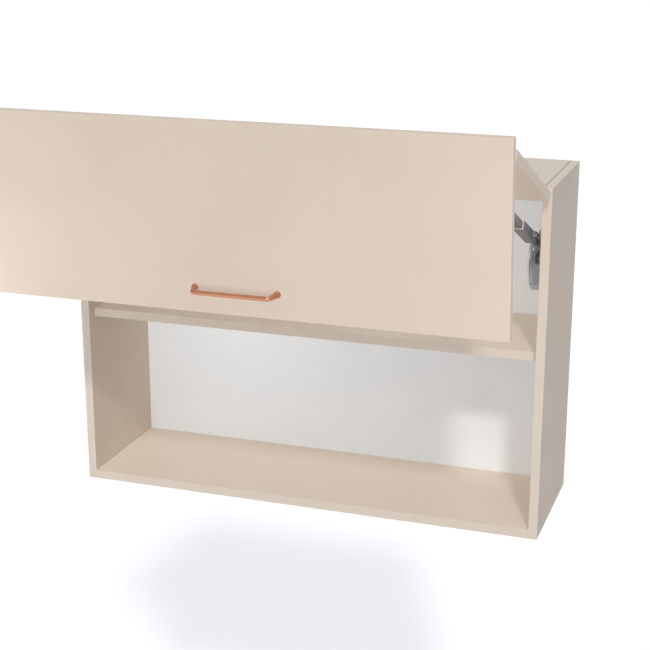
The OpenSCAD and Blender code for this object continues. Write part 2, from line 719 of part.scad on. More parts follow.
left_side();
right_side();
top_panel();
bottom_panel();
back_panel();
shelf();
side_edge_bands();
board_edge_bands();
corner_dowels();
shelf_supports();
hanger_bodies();
hanger_hooks();
upper_leaf();
lower_leaf();
handle();
handle_screws();
top_hinge_arms();
top_hinge_pins();
top_hinge_screws();
top_hinge_cups();
top_cup_pins();
top_cup_screws();
top_hinge_links();
centre_hinge_arms();
centre_hinge_pins();
centre_hinge_screws();
centre_hinge_cups();
centre_cup_pins();
centre_cup_screws();
centre_hinge_links();
left_lift_plate();
right_lift_plate();
left_lift_cover();
right_lift_cover();
lift_pivot_pins();
lift_screws();
spring_seats();
lift_force_screws();
left_lift_slide();
right_lift_slide();
left_lift_springs();
right_lift_springs();
left_cam_roller();
right_cam_roller();
left_lift_lever();
right_lift_lever();
left_arm_channel();
right_arm_channel();
left_arm_rivets();
right_arm_rivets();
left_arm_rail();
right_arm_rail();
left_arm_end();
right_arm_end();
arm_brackets();
arm_bracket_pins();
arm_bracket_screws();
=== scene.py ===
"""Looks of a wall cabinet with a folding lift-up door.

Every piece is in metres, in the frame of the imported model: X to the right, Y towards the wall and Z up,
from the wall plane at the middle of the underside. The measures at the top are in millimetres.
"""

import json
import math

import bpy
import numpy as np
from bpy.props import FloatProperty, FloatVectorProperty, IntProperty, PointerProperty
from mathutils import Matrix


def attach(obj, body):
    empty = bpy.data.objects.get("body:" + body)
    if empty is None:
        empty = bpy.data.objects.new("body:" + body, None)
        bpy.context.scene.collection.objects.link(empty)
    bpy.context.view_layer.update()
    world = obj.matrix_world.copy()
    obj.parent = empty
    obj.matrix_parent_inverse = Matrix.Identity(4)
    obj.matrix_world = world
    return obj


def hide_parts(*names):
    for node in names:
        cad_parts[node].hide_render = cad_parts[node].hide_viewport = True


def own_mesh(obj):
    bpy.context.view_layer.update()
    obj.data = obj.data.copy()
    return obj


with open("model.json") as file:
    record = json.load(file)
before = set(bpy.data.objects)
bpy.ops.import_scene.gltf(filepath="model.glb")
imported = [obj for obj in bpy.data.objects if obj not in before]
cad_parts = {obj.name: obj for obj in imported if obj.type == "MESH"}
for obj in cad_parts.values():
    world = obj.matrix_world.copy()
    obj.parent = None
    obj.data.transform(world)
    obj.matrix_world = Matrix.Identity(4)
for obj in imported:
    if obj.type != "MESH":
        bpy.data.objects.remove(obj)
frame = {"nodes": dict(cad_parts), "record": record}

bl_info = {
    "name": "Lift-up wall cabinet",
    "version": (1, 0, 0),
    "blender": (4, 5, 0),
    "location": "View3D > Sidebar > Wall Cabinet",
    "description": "Finishes and fine pieces of a wall cabinet with a folding lift-up door",
    "category": "Object",
}

MM = 0.001

# ---- measures in millimetres, as the frame was built with them ----
# A pair of numbers is a place in the side view of the shut door: behind the carcass's front edges, and
# above its underside.

# the carcass: its depth and height, and from the middle of the width to the inner face of a side
BODY_DEPTH = 300.0
BODY_HEIGHT = 715.0
HALF_INSIDE = 482.0

# the door: before the carcass, a leaf's thickness, the lower leaf's foot, a leaf's height, between the leaves
DOOR_GAP = 2.0
LEAF_THICK = 18.0
LEAF_FOOT = 1.5
LEAF_HEIGHT = 354.25
LEAF_GAP = 4.0
LOWER_LEAF_TOP = LEAF_FOOT + LEAF_HEIGHT
UPPER_LEAF_FOOT = LOWER_LEAF_TOP + LEAF_GAP

# the door's two turns: each axis, and the degrees from shut to lifted
TOP_AXIS = (-15.0, 707.4)
TOP_OPEN = -112.5
FOLD_AXIS = (-14.0, 336.0)
FOLD_OPEN = 117.3

# the handle: between its feet, above the leaf's foot, out from the leaf, lean of a leg
HANDLE_PITCH = 160.0
HANDLE_RISE = 48.0
HANDLE_OUT = 27.0
HANDLE_LEAN = 7.0
# the flare of its feet: the share of the reach where it runs out, and the power it falls with
FLARE_REACH = 0.78
FLARE_POWER = 1.6

# the hinges along the width, and their screws: either side of a hinge's middle, behind the front, height
HINGES_AT = (-370.0, 0.0, 370.0)
TOP_CUP_AT = (22.5, 1.0 - DOOR_GAP, BODY_HEIGHT - 31.5)
CENTRE_CUP_AT = (22.5, 1.0 - DOOR_GAP, LOWER_LEAF_TOP - 31.75)
TOP_ARM_AT = (11.0, 53.0, BODY_HEIGHT - 20.5)
CENTRE_ARM_AT = (10.5, 2.0 - DOOR_GAP, UPPER_LEAF_FOOT + 40.0)

# the arm brackets' screws on the lower leaf: in from the carcass's inner face, behind the front, height
BRACKET_SCREWS_IN = (22.5, 31.5)
BRACKET_SCREWS_AT = (2.5 - DOOR_GAP, 204.25)

# the screws: radius and height of the head, radius and length of the shank
HANDLE_SCREW = (4.0, 2.2, 2.0, 25.5)
CUP_SCREW = (3.2, 1.4, 1.75, 11.5)
TOP_ARM_SCREW = (3.2, 2.0, 1.75, 14.0)
CENTRE_ARM_SCREW = (3.2, 1.8, 1.75, 12.5)
BRACKET_SCREW = (3.4, 1.8, 1.75, 15.0)
LIFT_SCREW = (4.5, 2.0, 3.0, 14.0)
THREAD_PITCH = 1.15

# the lifts: the hub, the slide's slope in degrees, the plate's thickness and its screws' places from the hub
LIFT_HUB = (33.0, 590.899)
LIFT_SLOPE = -28.0
LIFT_PLATE = 3.0
LIFT_SCREWS = ((45.0, -0.9), (125.0, -0.9), (125.0, -83.9), (45.0, -83.9))

# the lifted arms: their direction, and how far along it their channels are sawn off, from the hub and from
# the frame's origin
ARM_WAY = (0.0, -0.918497, 0.395427)
ARM_CUT = 138.0
ARM_CUT_AT = ARM_CUT + (LIFT_HUB[0] - BODY_DEPTH) * ARM_WAY[1] + LIFT_HUB[1] * ARM_WAY[2]

# the lift covers: from the middle of the width to the flat of a cheek
CHEEK_AT = 453.5
# the walls in front of the cams: corners of their line behind and above the hub, each strip's edges across
# from the side, thickness, and radius of the long edges
GUARD_LINE = ((12.6, -35.0), (7.5, -20.0), (7.6, -9.0), (14.0, 2.0), (24.0, 7.0), (33.0, 8.4))
GUARD_STRIPS = ((3.0, 10.4), (17.3, 27.0))
GUARD_THICK = 2.0
GUARD_ROUND = 0.45
# the pale clips at the covers' foot: each strip's edges with the corners of its line
CLIPS = (((21.5, 26.9), ((20.2, -71.4), (39.0, -92.7))), ((4.0, 21.4), ((29.0, -81.4), (39.0, -92.7))))
CLIP_THICK = 1.0
CLIP_ROUND = 0.3
# length over which the corners of these lines are averaged
CORNER_REACH = 4.0

# the springs, with the door lifted: start and end along the slide, in from the side, above and below it
SPRING_FROM = 35.2
SPRING_TO = 94.8
SPRING_ACROSS = 14.0
SPRING_GAP = 9.0

# ---- light and view, in metres and degrees ----

# name, kind, strength, way of travel or place, angle or radius, colour, casts a shadow
LIGHTS = (
    ("Key", "SUN", 1.03, (-0.29, 0.72, -0.62), 0.09, (1.0, 1.0, 1.0), True),
    ("Fill front", "SUN", 0.80, (0.0, 1.0, -0.02), 0.5, (0.82, 0.875, 0.95), True),
    ("Fill above", "SUN", 0.82, (0.02, 0.0, -1.0), 0.5, (0.89, 0.91, 0.94), False),
    ("Fill high", "SUN", 0.44, (-0.1, 0.3, -1.0), 0.5, (0.80, 0.85, 0.97), True),
    ("Fill below", "SUN", 0.75, (-0.3, 0.1, 1.0), 0.5, (1.0, 0.96, 0.93), False),
    ("Fill left", "POINT", 2.4, (-0.75, -0.95, 0.42), 0.15, (1.0, 0.90, 0.90), False),
    ("Fill right", "POINT", 1.5, (0.65, -1.05, 0.60), 0.15, (1.0, 0.90, 0.92), False),
    ("Fill inside", "POINT", 1.65, (-0.28, -0.42, 0.33), 0.10, (0.86, 0.94, 1.0), False),
    ("Fill niche", "POINT", 0.34, (0.20, -0.22, 0.60), 0.06, (0.80, 0.95, 1.0), True),
)

# lights that only some pieces stop (blocker) or take (receiver), or all but them
LINKS = {
    "Key": ("blocker", "EXCLUDE", ("handle_bow",)),
    "Fill front": ("blocker", "INCLUDE", ("handle_bow",)),
    "Fill below": ("receiver", "INCLUDE", ("upper_leaf", "lower_leaf", "left_lift_cover", "right_lift_cover",
                                           "left_arm_channel", "right_arm_channel")),
    "Fill inside": ("receiver", "INCLUDE", ("back_panel",)),
    "Fill niche": ("receiver", "INCLUDE", ("back_panel", "shelf")),
    "Fill right": ("receiver", "EXCLUDE", ("back_panel",)),
}

FLOOR_REACH = 40.0
VIEW_PLACE = (0.97657, -2.98705, 1.26912)
VIEW_TURN = (73.1, 0.0, 19.0)
VIEW_LENS, VIEW_SENSOR = 81.5, 36.0  # millimetres
VIEW_DEPTH = (0.05, 200.0)

BODY_OF = {n: b for b, ns in frame["record"]["behaviour"]["bodies"].items() for n in ns}
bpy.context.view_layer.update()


# ---- sizes and colours that a user would change ----

class CabinetSizes(bpy.types.PropertyGroup):
    """Sizes of the fine pieces and of the softened edges"""

    board_round: FloatProperty(name="Board edge", description="Radius of the edges of the carcass boards",
                               default=0.0006, min=0.0, max=0.003, unit="LENGTH", precision=4)
    leaf_round: FloatProperty(name="Door edge", description="Radius of the edges of the door leaves",
                              default=0.0005, min=0.0, max=0.003, unit="LENGTH", precision=4)
    metal_round: FloatProperty(name="Metal edge", description="Radius of the edges of pressed metal",
                               default=0.0004, min=0.0, max=0.001, unit="LENGTH", precision=4)
    cover_round: FloatProperty(name="Cover edge", description="Radius of the edges of the lift covers",
                               default=0.0009, min=0.0, max=0.002, unit="LENGTH", precision=4)
    bar_width: FloatProperty(name="Handle bar", description="Diameter of the handle's bar",
                             default=0.009, min=0.006, max=0.014, unit="LENGTH", precision=4)
    foot_width: FloatProperty(name="Handle foot", description="Diameter of the handle's feet at the door",
                              default=0.0128, min=0.008, max=0.02, unit="LENGTH", precision=4)
    bend_radius: FloatProperty(name="Handle bend", description="Radius of the bends at the bar's centre",
                               default=0.0055, min=0.005, max=0.012, unit="LENGTH", precision=4)
    recess_depth: FloatProperty(name="Cross recess", description="Depth of the cross as a share of the head",
                                default=0.72, min=0.2, max=0.9, subtype="FACTOR")
    wire_width: FloatProperty(name="Spring wire", description="Diameter of the lift springs' wire",
                              default=0.0022, min=0.001, max=0.003, unit="LENGTH", precision=4)
    coil_radius: FloatProperty(name="Spring coil", description="Radius of the springs to the wire's middle",
                               default=0.0059, min=0.004, max=0.007, unit="LENGTH", precision=4)
    coil_turns: IntProperty(name="Spring turns", description="Number of turns of a lift spring",
                            default=9, min=5, max=12)


def tint(name, about, colour):
    """A colour property with a linear RGB default."""
    return FloatVectorProperty(name=name, description=about, default=colour, size=3, min=0.0, max=1.0,
                               subtype="COLOR")


class CabinetColours(bpy.types.PropertyGroup):
    """Colours of the finishes"""

    door: tint("Door", "Lacquer of the two door leaves", (0.723, 0.605, 0.492))
    carcass: tint("Carcass", "Coating of the carcass boards", (0.715, 0.615, 0.510))
    edges: tint("Edge bands", "Edge bands of the carcass boards", (0.735, 0.632, 0.525))
    back: tint("Back", "Coating of the back panel", (0.840, 0.848, 0.842))
    copper: tint("Handle", "Copper plating of the handle", (0.620, 0.290, 0.182))
    cover: tint("Lift covers", "Moulded covers of the lifts", (0.280, 0.298, 0.302))
    # the cheeks' paler grey is partly painted light, standing in for the light on a cover's lit front rim
    cheek: tint("Lift cover cheeks", "Pale cheeks and clips of the lift covers", (0.500, 0.525, 0.525))
    arm: tint("Lift arms", "Powder coating of the arm channels", (0.150, 0.160, 0.162))
    arm_cut: tint("Lift arm ends", "Bare metal where the arm channels are sawn off", (0.560, 0.570, 0.580))
    steel: tint("Lift steel", "Coated steel inside the lifts", (0.165, 0.173, 0.175))
    rail: tint("Lift rails", "Coating of the rails inside the arms", (0.120, 0.128, 0.132))
    spring: tint("Springs", "Oiled wire of the lift springs", (0.400, 0.400, 0.410))
    nickel: tint("Hinges", "Nickel plating of the hinges", (0.660, 0.650, 0.630))
    zinc: tint("Screws", "Zinc plating of the screws", (0.620, 0.630, 0.650))
    white: tint("Hanging brackets", "White plastic of the hanging brackets", (0.800, 0.800, 0.780))
    dark: tint("Lift arm tips", "Dark plastic at the ends of the lift arms", (0.055, 0.058, 0.060))
    dowel: tint("Dowels", "Beech of the corner dowels", (0.560, 0.360, 0.190))


class CabinetStage(bpy.types.PropertyGroup):
    """Light and floor"""

    key: FloatProperty(name="Key light", description="Strength of the key light",
                       default=1.0, min=0.0, max=10.0)
    sky: FloatProperty(name="Even light", description="Strength of the even light from all sides",
                       default=0.385, min=0.0, max=3.0)
    fill: FloatProperty(name="Fill lights", description="Strength of the soft fill lights",
                        default=1.0, min=0.0, max=10.0)
    floor_depth: FloatProperty(name="Floor", description="Height of the floor from the cabinet's underside",
                               default=-1.45, min=-3.0, max=-0.5, unit="LENGTH")


# ---- shapes ----

def turned(y, z, centre, degrees):
    """Turns points in the side view about a centre: the usual rotation by cosine and sine."""
    c, s = math.cos(math.radians(degrees)), math.sin(math.radians(degrees))
    along, up = y - centre[0], z - centre[1]
    return centre[0] + along * c - up * s, centre[1] + along * s + up * c


def placed(points, pose):
    """Millimetre points of the shut door, with y behind the front, moved to the built pose in metres.

    pose is cabinet, upper or lower: the lower leaf turns about the fold first, and both about the top."""
    x, y, z = np.moveaxis(np.asarray(points, float), -1, 0)
    if pose == "lower":
        y, z = turned(y, z, FOLD_AXIS, FOLD_OPEN)
    if pose in ("lower", "upper"):
        y, z = turned(y, z, TOP_AXIS, TOP_OPEN)
    return np.stack([x, y - BODY_DEPTH, z], -1) * MM


def on_slide(across, along, up, side):
    """Points of a lift, in millimetres across from the side, along the slide and square to it, in metres."""
    y, z = turned(LIFT_HUB[0] + along, LIFT_HUB[1] + up, LIFT_HUB, LIFT_SLOPE)
    return np.stack([side * (HALF_INSIDE - across), y - BODY_DEPTH, z], -1) * MM


def skin(grids, name):
    """One mesh of closed tubes. Each grid is rows by columns by 3: the columns close round, and the first
    and last rows close in a point at their mean. A tube whose signed volume, the sum of the tetrahedra
    from its middle to its faces, is negative is turned right side out. Edges that turn by more than 35
    degrees are shaded as edges."""
    points, quads, fans, count = [], [], [], 0
    for grid in grids:
        rows, cols = grid.shape[:2]
        row, col = np.meshgrid(np.arange(rows - 1), np.arange(cols), indexing="ij")
        here, beside = row * cols + col, row * cols + (col + 1) % cols
        walls = np.stack([here, beside, beside + cols, here + cols], -1).reshape(-1, 4)
        col = np.arange(cols)
        after = (col + 1) % cols
        tip = np.full(cols, rows * cols)
        last = (rows - 1) * cols
        caps = np.concatenate([np.stack([tip, after, col], -1),
                               np.stack([tip + 1, last + col, last + after], -1)])
        spots = np.concatenate([grid.reshape(-1, 3), grid[0].mean(0)[None], grid[-1].mean(0)[None]])
        arms = spots - spots.mean(0)
        faces = np.concatenate([walls[:, [0, 1, 2]], walls[:, [0, 2, 3]], caps])
        if np.einsum("ij,ij->i", arms[faces[:, 0]], np.cross(arms[faces[:, 1]], arms[faces[:, 2]])).sum() < 0:
            walls, caps = walls[:, ::-1], caps[:, ::-1]
        points.append(spots)
        quads.append(walls + count)
        fans.append(caps + count)
        count += len(spots)
    mesh = bpy.data.meshes.new(name)
    mesh.from_pydata(np.concatenate(points), [],
                     np.concatenate(quads).tolist() + np.concatenate(fans).tolist())
    mesh.validate()
    mesh.shade_smooth()
    mesh.set_sharp_from_angle(angle=math.radians(35.0))
    piece = bpy.data.objects.new(name, mesh)
    bpy.context.scene.collection.objects.link(piece)
    return piece


def settle(piece, node, material, instead=True):
    """Hands a new piece to a node's body, in the node's place or beside it, with its finish."""
    piece.data.materials.append(material)
    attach(piece, BODY_OF[node])
    if instead:
        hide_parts(node)
    return piece


def tube(path, radius, across, columns):
    """A round tube: each row is the path's point plus the radius times cosine of the turn along the sideways
    direction, plus sine along the direction square to it and to the path."""
    along = np.gradient(path, axis=0)
    along /= np.linalg.norm(along, axis=1)[:, None]
    side = across - (across * along).sum(1)[:, None] * along
    side /= np.linalg.norm(side, axis=1)[:, None]
    other = np.cross(along, side)
    turn = np.linspace(0, 2 * math.pi, columns, endpoint=False)
    return (path[:, None] + radius[:, None, None] * (np.cos(turn)[None, :, None] * side[:, None]
                                                     + np.sin(turn)[None, :, None] * other[:, None]))


def bow(sizes):
    """The handle's centre line and radius, as distance along the door and out from it, in millimetres.

    Half of it is a leaning leg, an arc tangent to the leg and the bar, and half of the bar. The radius falls
    from the foot's to the bar's with a power of what is left of the flare."""
    foot = np.array([HANDLE_PITCH / 2, 0.0])
    corner = np.array([HANDLE_PITCH / 2 - HANDLE_LEAN, HANDLE_OUT])
    leg = corner - foot
    length = np.linalg.norm(leg)
    leg /= length
    bend = sizes.bend_radius / MM
    cut = bend * math.tan(math.acos(-leg[0]) / 2)
    start, centre = corner - leg * cut, corner + np.array([-cut, -bend])
    angle = np.linspace(math.atan2(*(start - centre)[::-1]), math.pi / 2, 15)[1:]
    straight = foot + leg * np.linspace(0, length - cut, 16)[:, None]
    arc = centre + bend * np.stack([np.cos(angle), np.sin(angle)], -1)
    flat = np.stack([np.linspace(arc[-1, 0], 0, 12)[1:], np.full(11, HANDLE_OUT)], -1)
    right = np.concatenate([straight, arc, flat])
    left = right[-2::-1] * [-1, 1]
    line = np.concatenate([right, left])
    bar, foot_radius = sizes.bar_width / MM / 2, sizes.foot_width / MM / 2
    flare = np.clip(1 - line[:, 1] / (HANDLE_OUT * FLARE_REACH), 0, 1)
    return line, bar + (foot_radius - bar) * flare ** FLARE_POWER


def screw(size, sizes):
    """A screw along +h in millimetres, with its head's seat at h = 0.

    The head is a low dome, its height falling with a power of the distance from the middle, less a cross:
    where a point lies inside one of two bars, the dome drops by the recess. Below it the profile turns under
    the head, down the shank, whose radius waves as a thread, to a cone at the tip."""
    radius, height, shank, length = size
    columns = 56
    turn = np.linspace(0, 2 * math.pi, columns, endpoint=False)
    r = radius * np.concatenate([np.linspace(0.03, 0.62, 9), [0.72, 0.84, 0.94, 0.99]])
    x, y = r[:, None] * np.cos(turn), r[:, None] * np.sin(turn)
    wide, reach, soft = radius * 0.13, radius * 0.56, radius * 0.07

    def inside(a, b):
        return np.clip((wide - abs(a)) / soft + 0.5, 0, 1) * np.clip((reach - abs(b)) / soft + 0.5, 0, 1)

    dome = height * (1 - 0.42 * (r / radius)[:, None] ** 2.6) * np.ones_like(x)
    taper = 1 - 0.45 * (r / reach)[:, None].clip(0, 1)
    top = dome - height * sizes.recess_depth * taper * np.maximum(inside(x, y), inside(y, x))
    head = np.stack([x, y, top], -1)
    down = np.linspace(0, 1, max(12, int(length * 2.2)))
    wave = 0.93 + 0.07 * np.cos(down * length / THREAD_PITCH * math.pi * 2)
    tip = np.minimum(1, (1.0 - down) * 6 + 0.12)
    across = np.concatenate([[radius, radius, radius * 0.97], [shank], shank * wave * tip])
    along = np.concatenate([[height * 0.5, height * 0.1, 0.0], [0.0], -down * length])
    rest = np.stack([across[:, None] * np.cos(turn), across[:, None] * np.sin(turn),
                     np.repeat(along[:, None], columns, 1)], -1)
    return np.concatenate([head, rest])


def aimed(grid, at, way):
    """Stands a screw's grid at a point with its head looking along an axis, by writing two axes square to
    the head's and the head's own as the rows of a turn."""
    w = np.asarray(way, float)
    u = np.array([0.0, 0.0, 1.0]) if abs(w[2]) < 0.5 else np.array([1.0, 0.0, 0.0])
    v = np.cross(w, u)
    return np.asarray(at, float) + grid @ np.stack([u, v, w])


def guard(side, strips, line, thick, edge):
    """A moulded wall before a lift, as strips that follow one line.

    The line of corners, in millimetres behind and above the hub, is walked in equal steps and averaged over a
    few of them, which rounds the corners. Along it goes a rectangle with quarter circles at its corners: its
    width is the strip's, across from the side, and its height is the wall, square to the line and inwards."""
    corners = np.array(line)
    walked = np.concatenate([[0], np.cumsum(np.linalg.norm(np.diff(corners, axis=0), axis=1))])
    steps = np.linspace(0, walked[-1], 61)
    kernel = np.hanning(2 * int(CORNER_REACH / steps[1]) + 3)
    reach = len(kernel) // 2
    way = np.stack([np.convolve(np.pad(np.interp(steps, walked, corners[:, i]), reach, mode="reflect",
                                       reflect_type="odd"), kernel / kernel.sum(), "valid")
                    for i in (0, 1)], -1)
    along = np.gradient(way, axis=0)
    along /= np.linalg.norm(along, axis=1)[:, None]
    inward = np.stack([along[:, 1], -along[:, 0]], -1)
    turn = np.linspace(0, 2 * math.pi, 16, endpoint=False) + math.pi / 16
    grids = []
    for near, far in strips:
        across = (near + far) / 2 + ((far - near) / 2 - edge) * np.sign(np.cos(turn)) + edge * np.cos(turn)
        deep = thick / 2 + (thick / 2 - edge) * np.sign(np.sin(turn)) + edge * np.sin(turn)
        spots = way[:, None] + deep[None, :, None] * inward[:, None]
        x = np.broadcast_to(side * (HALF_INSIDE - across), spots.shape[:2])
        grids.append(np.stack([x, LIFT_HUB[0] + spots[..., 0] - BODY_DEPTH,
                               LIFT_HUB[1] + spots[..., 1]], -1) * MM)
    return grids


def spring(sizes, side, up):
    """One lift spring: a helix whose height runs slowly over the first and last turn and evenly between, so
    that its end turns lie closed, swept by the wire's circle."""
    turns, wire, coil = sizes.coil_turns, sizes.wire_width / MM / 2, sizes.coil_radius / MM
    length = SPRING_TO - SPRING_FROM
    t = np.linspace(0, 1, turns * 30 + 1)
    closed = 1.05 / turns
    closed_rise = 2.15 * wire * 1.02
    rise = np.interp(t, [0, closed, 1 - closed, 1], [0, closed_rise, length - closed_rise, length])
    kernel = np.hanning(13) / np.hanning(13).sum()
    rise = np.convolve(np.pad(rise, 6, mode="edge"), kernel, "valid")
    a = 2 * math.pi * turns * t
    path = on_slide(SPRING_ACROSS + coil * np.cos(a), SPRING_FROM + rise, up + coil * np.sin(a), side)
    middle = on_slide(np.full_like(a, SPRING_ACROSS), SPRING_FROM + rise, np.full_like(a, up), side)
    return tube(path, np.full(len(t), wire * MM), path - middle, 12)


def soften(name, width, segments=2, clamp=True):
    """Rounds a CAD node's real edges: its loose triangles are merged, flat fields are joined, and only edges
    that turn by more than 30 degrees are rounded."""
    piece = frame["nodes"][name]
    weld = piece.modifiers.new("Merge", "WELD")
    weld.merge_threshold = 0.00001
    flat = piece.modifiers.new("Flat fields", "DECIMATE")
    flat.decimate_type = "DISSOLVE"
    flat.angle_limit = math.radians(0.5)
    bevel = piece.modifiers.new("Edge", "BEVEL")
    bevel.width = width
    bevel.segments = segments
    bevel.limit_method = "ANGLE"
    bevel.angle_limit = math.radians(30.0)
    bevel.use_clamp_overlap = clamp
    bevel.loop_slide = False


# ---- finishes ----

# the colour sockets of a Mix node, which share their names with its other sockets
MIX_FIRST, MIX_SECOND, MIX_RESULT = 6, 7, 2


class Finish:
    """A node material, built on one Principled shader."""

    def __init__(self, name, colour, roughness, metallic=0.0, **sockets):
        self.material = bpy.data.materials.new(name)
        self.material.use_nodes = True
        self.tree = self.material.node_tree
        self.tree.nodes.clear()
        output = self.tree.nodes.new("ShaderNodeOutputMaterial")
        self.shader = self.tree.nodes.new("ShaderNodeBsdfPrincipled")
        self.tree.links.new(self.shader.outputs["BSDF"], output.inputs["Surface"])
        self.shader.inputs["Base Color"].default_value = (*colour, 1.0)
        self.shader.inputs["Roughness"].default_value = roughness
        self.shader.inputs["Metallic"].default_value = metallic
        for socket, value in sockets.items():
            self.shader.inputs[socket.replace("_", " ")].default_value = value
        self.colour = colour
        self.material.diffuse_color = (*colour, 1.0)
        self.place = self.tree.nodes.new("ShaderNodeTexCoord").outputs["Object"]

    def pattern(self, kind, scale, stretch=(1, 1, 1), **values):
        """A texture on object coordinates, stretched by a Mapping node."""
        mapping = self.tree.nodes.new("ShaderNodeMapping")
        mapping.inputs["Scale"].default_value = stretch
        self.tree.links.new(self.place, mapping.inputs["Vector"])
        texture = self.tree.nodes.new("ShaderNodeTex" + kind)
        self.tree.links.new(mapping.outputs["Vector"], texture.inputs["Vector"])
        texture.inputs["Scale"].default_value = scale
        for key, value in values.items():
            texture.inputs[key.replace("_", " ")].default_value = value
        return texture.outputs["Distance" if kind == "Voronoi" else "Fac"]

    def compute(self, operation, source, number=0.0):
        """One step of arithmetic on a source, with a number or with another source."""
        step = self.tree.nodes.new("ShaderNodeMath")
        step.operation = operation
        self.tree.links.new(source, step.inputs[0])
        if isinstance(number, float):
            step.inputs[1].default_value = number
        else:
            self.tree.links.new(number, step.inputs[1])
        return step.outputs["Value"]

    def spread(self, source, low, high, start=0.3, end=0.7):
        """The pattern between start and end, carried to low and high."""
        ranged = self.tree.nodes.new("ShaderNodeMapRange")
        self.tree.links.new(source, ranged.inputs["Value"])
        for key, value in (("From Min", start), ("From Max", end), ("To Min", low), ("To Max", high)):
            ranged.inputs[key].default_value = value
        return ranged.outputs["Result"]

    def mix(self, blend, factor, first, second):
        """A Mix node of two colours. Its factor is a number or a source, and so is each colour a tone or a
        source."""
        mix = self.tree.nodes.new("ShaderNodeMix")
        mix.data_type = "RGBA"
        mix.blend_type = blend
        for socket, value in (("Factor", factor), (MIX_FIRST, first), (MIX_SECOND, second)):
            if isinstance(value, (float, tuple)):
                mix.inputs[socket].default_value = value
            else:
                self.tree.links.new(value, mix.inputs[socket])
        self.tree.links.new(mix.outputs[MIX_RESULT], self.shader.inputs["Base Color"])
        return mix.outputs[MIX_RESULT]

    def shade(self, source, darker, lighter, start=0.3, end=0.7, over=None):
        """Base colour between a darker and a lighter tone of itself, laid over an earlier shade by product."""
        ramp = self.tree.nodes.new("ShaderNodeValToRGB")
        ramp.color_ramp.elements[0].position = start
        ramp.color_ramp.elements[1].position = end
        base = (1, 1, 1) if over is not None else self.colour
        tones = (darker, lighter) if isinstance(darker, tuple) else ((darker,) * 3, (lighter,) * 3)
        for element, tone in zip(ramp.color_ramp.elements, tones):
            element.color = (*(min(1.0, b * t) for b, t in zip(base, tone)), 1.0)
        self.tree.links.new(source, ramp.inputs["Fac"])
        if over is not None:
            return self.mix("MULTIPLY", 1.0, over, ramp.outputs["Color"])
        self.tree.links.new(ramp.outputs["Color"], self.shader.inputs["Base Color"])
        return ramp.outputs["Color"]

    def patch(self, source, colour, over):
        """Another colour where the source is 1, laid over an earlier shade."""
        return self.mix("MIX", source, over, (*colour, 1.0))

    def along(self, way):
        """How far a point lies along a direction."""
        dot = self.tree.nodes.new("ShaderNodeVectorMath")
        dot.operation = "DOT_PRODUCT"
        dot.inputs[1].default_value = way
        self.tree.links.new(self.place, dot.inputs[0])
        return dot.outputs["Value"]

    def near(self, way, centre, reach, width):
        """1 on the two planes square to a direction, a reach either side of a centre, and 0 a width away."""
        value = self.along(way)
        for offset in (centre, reach):
            value = self.compute("ABSOLUTE", self.compute("SUBTRACT", value, offset))
        return self.spread(value, 1.0, 0.0, width / 2, width)

    def rough(self, source, low, high, start=0.3, end=0.7):
        """Roughness between two values, by the pattern."""
        self.tree.links.new(self.spread(source, low, high, start, end), self.shader.inputs["Roughness"])

    def relief(self, *layers):
        """Bump of stacked patterns, each with its depth in metres."""
        normal = None
        for source, depth in layers:
            bump = self.tree.nodes.new("ShaderNodeBump")
            bump.inputs["Strength"].default_value = 1.0
            bump.inputs["Distance"].default_value = depth
            self.tree.links.new(source, bump.inputs["Height"])
            if normal is not None:
                self.tree.links.new(normal, bump.inputs["Normal"])
            normal = bump.outputs["Normal"]
        self.tree.links.new(normal, self.shader.inputs["Normal"])


def lacquer(name, colour):
    """Matt sprayed lacquer: a slow drift of tone, faint wiped patches in the gloss and a fine orange peel."""
    f = Finish(name, colour, 0.45, Coat_Weight=0.06, Coat_Roughness=0.35)
    drift = f.pattern("Noise", 5.0, Detail=2.0)
    speck = f.pattern("Noise", 900.0, Detail=3.0, Roughness=0.6)
    f.shade(speck, 0.982, 1.010, over=f.shade(drift, 0.975, 1.015))
    f.rough(f.pattern("Noise", 26.0, (1, 1, 2.2), Detail=4.0), 0.40, 0.50)
    f.relief((f.pattern("Noise", 330.0, Detail=2.0), 0.00003), (speck, 0.000012))
    return f.material


def coated_board(name, colour, grain=False, joints=False):
    """Coated chipboard: a pressed pore texture, a slow drift of tone and handling marks in the gloss.

    With grain, the pores run long and upright. With joint shade, the butt joints of the carcass show as fine
    dark lines in its top and underside, where a point is near both the side's inner face and the top or foot:
    painted shade, with some dirt, standing in for the shadow in the gaps of the joints."""
    f = Finish(name, colour, 0.52, Coat_Weight=0.03, Coat_Roughness=0.5)
    pore = f.pattern("Noise", 700.0, (1, 1, 0.12 if grain else 0.7), Detail=4.0, Roughness=0.65)
    drift = f.pattern("Noise", 4.0, Detail=3.0)
    tone = f.shade(pore, 0.975, 1.008, over=f.shade(drift, 0.978, 1.012))
    if joints:
        # painted shade with some dirt: the joint lines are darkened to stand in for the shadow in the gap
        # between the boards
        line, half_height = 0.0012, BODY_HEIGHT * MM / 2
        sides = f.near((1.0, 0.0, 0.0), 0.0, HALF_INSIDE * MM, line)
        ends = f.near((0.0, 0.0, 1.0), half_height, half_height, line)
        f.patch(f.compute("MULTIPLY", sides, ends), tuple(0.28 * c for c in colour), tone)
    f.rough(f.pattern("Noise", 18.0, (1, 2, 1), Detail=5.0), 0.46, 0.60)
    f.relief((pore, 0.00004))
    return f.material


def edge_band(name, colour):
    """Extruded edge band: fine lengthwise lines and a little more gloss than the board."""
    f = Finish(name, colour, 0.42)
    line = f.pattern("Noise", 1400.0, (0.05, 1, 0.05), Detail=2.0)
    drift = f.pattern("Noise", 9.0, Detail=2.0)
    f.shade(line, 0.985, 1.006, over=f.shade(drift, 0.985, 1.010))
    f.rough(f.pattern("Noise", 40.0, Detail=3.0), 0.36, 0.46)
    f.relief((line, 0.000012))
    return f.material


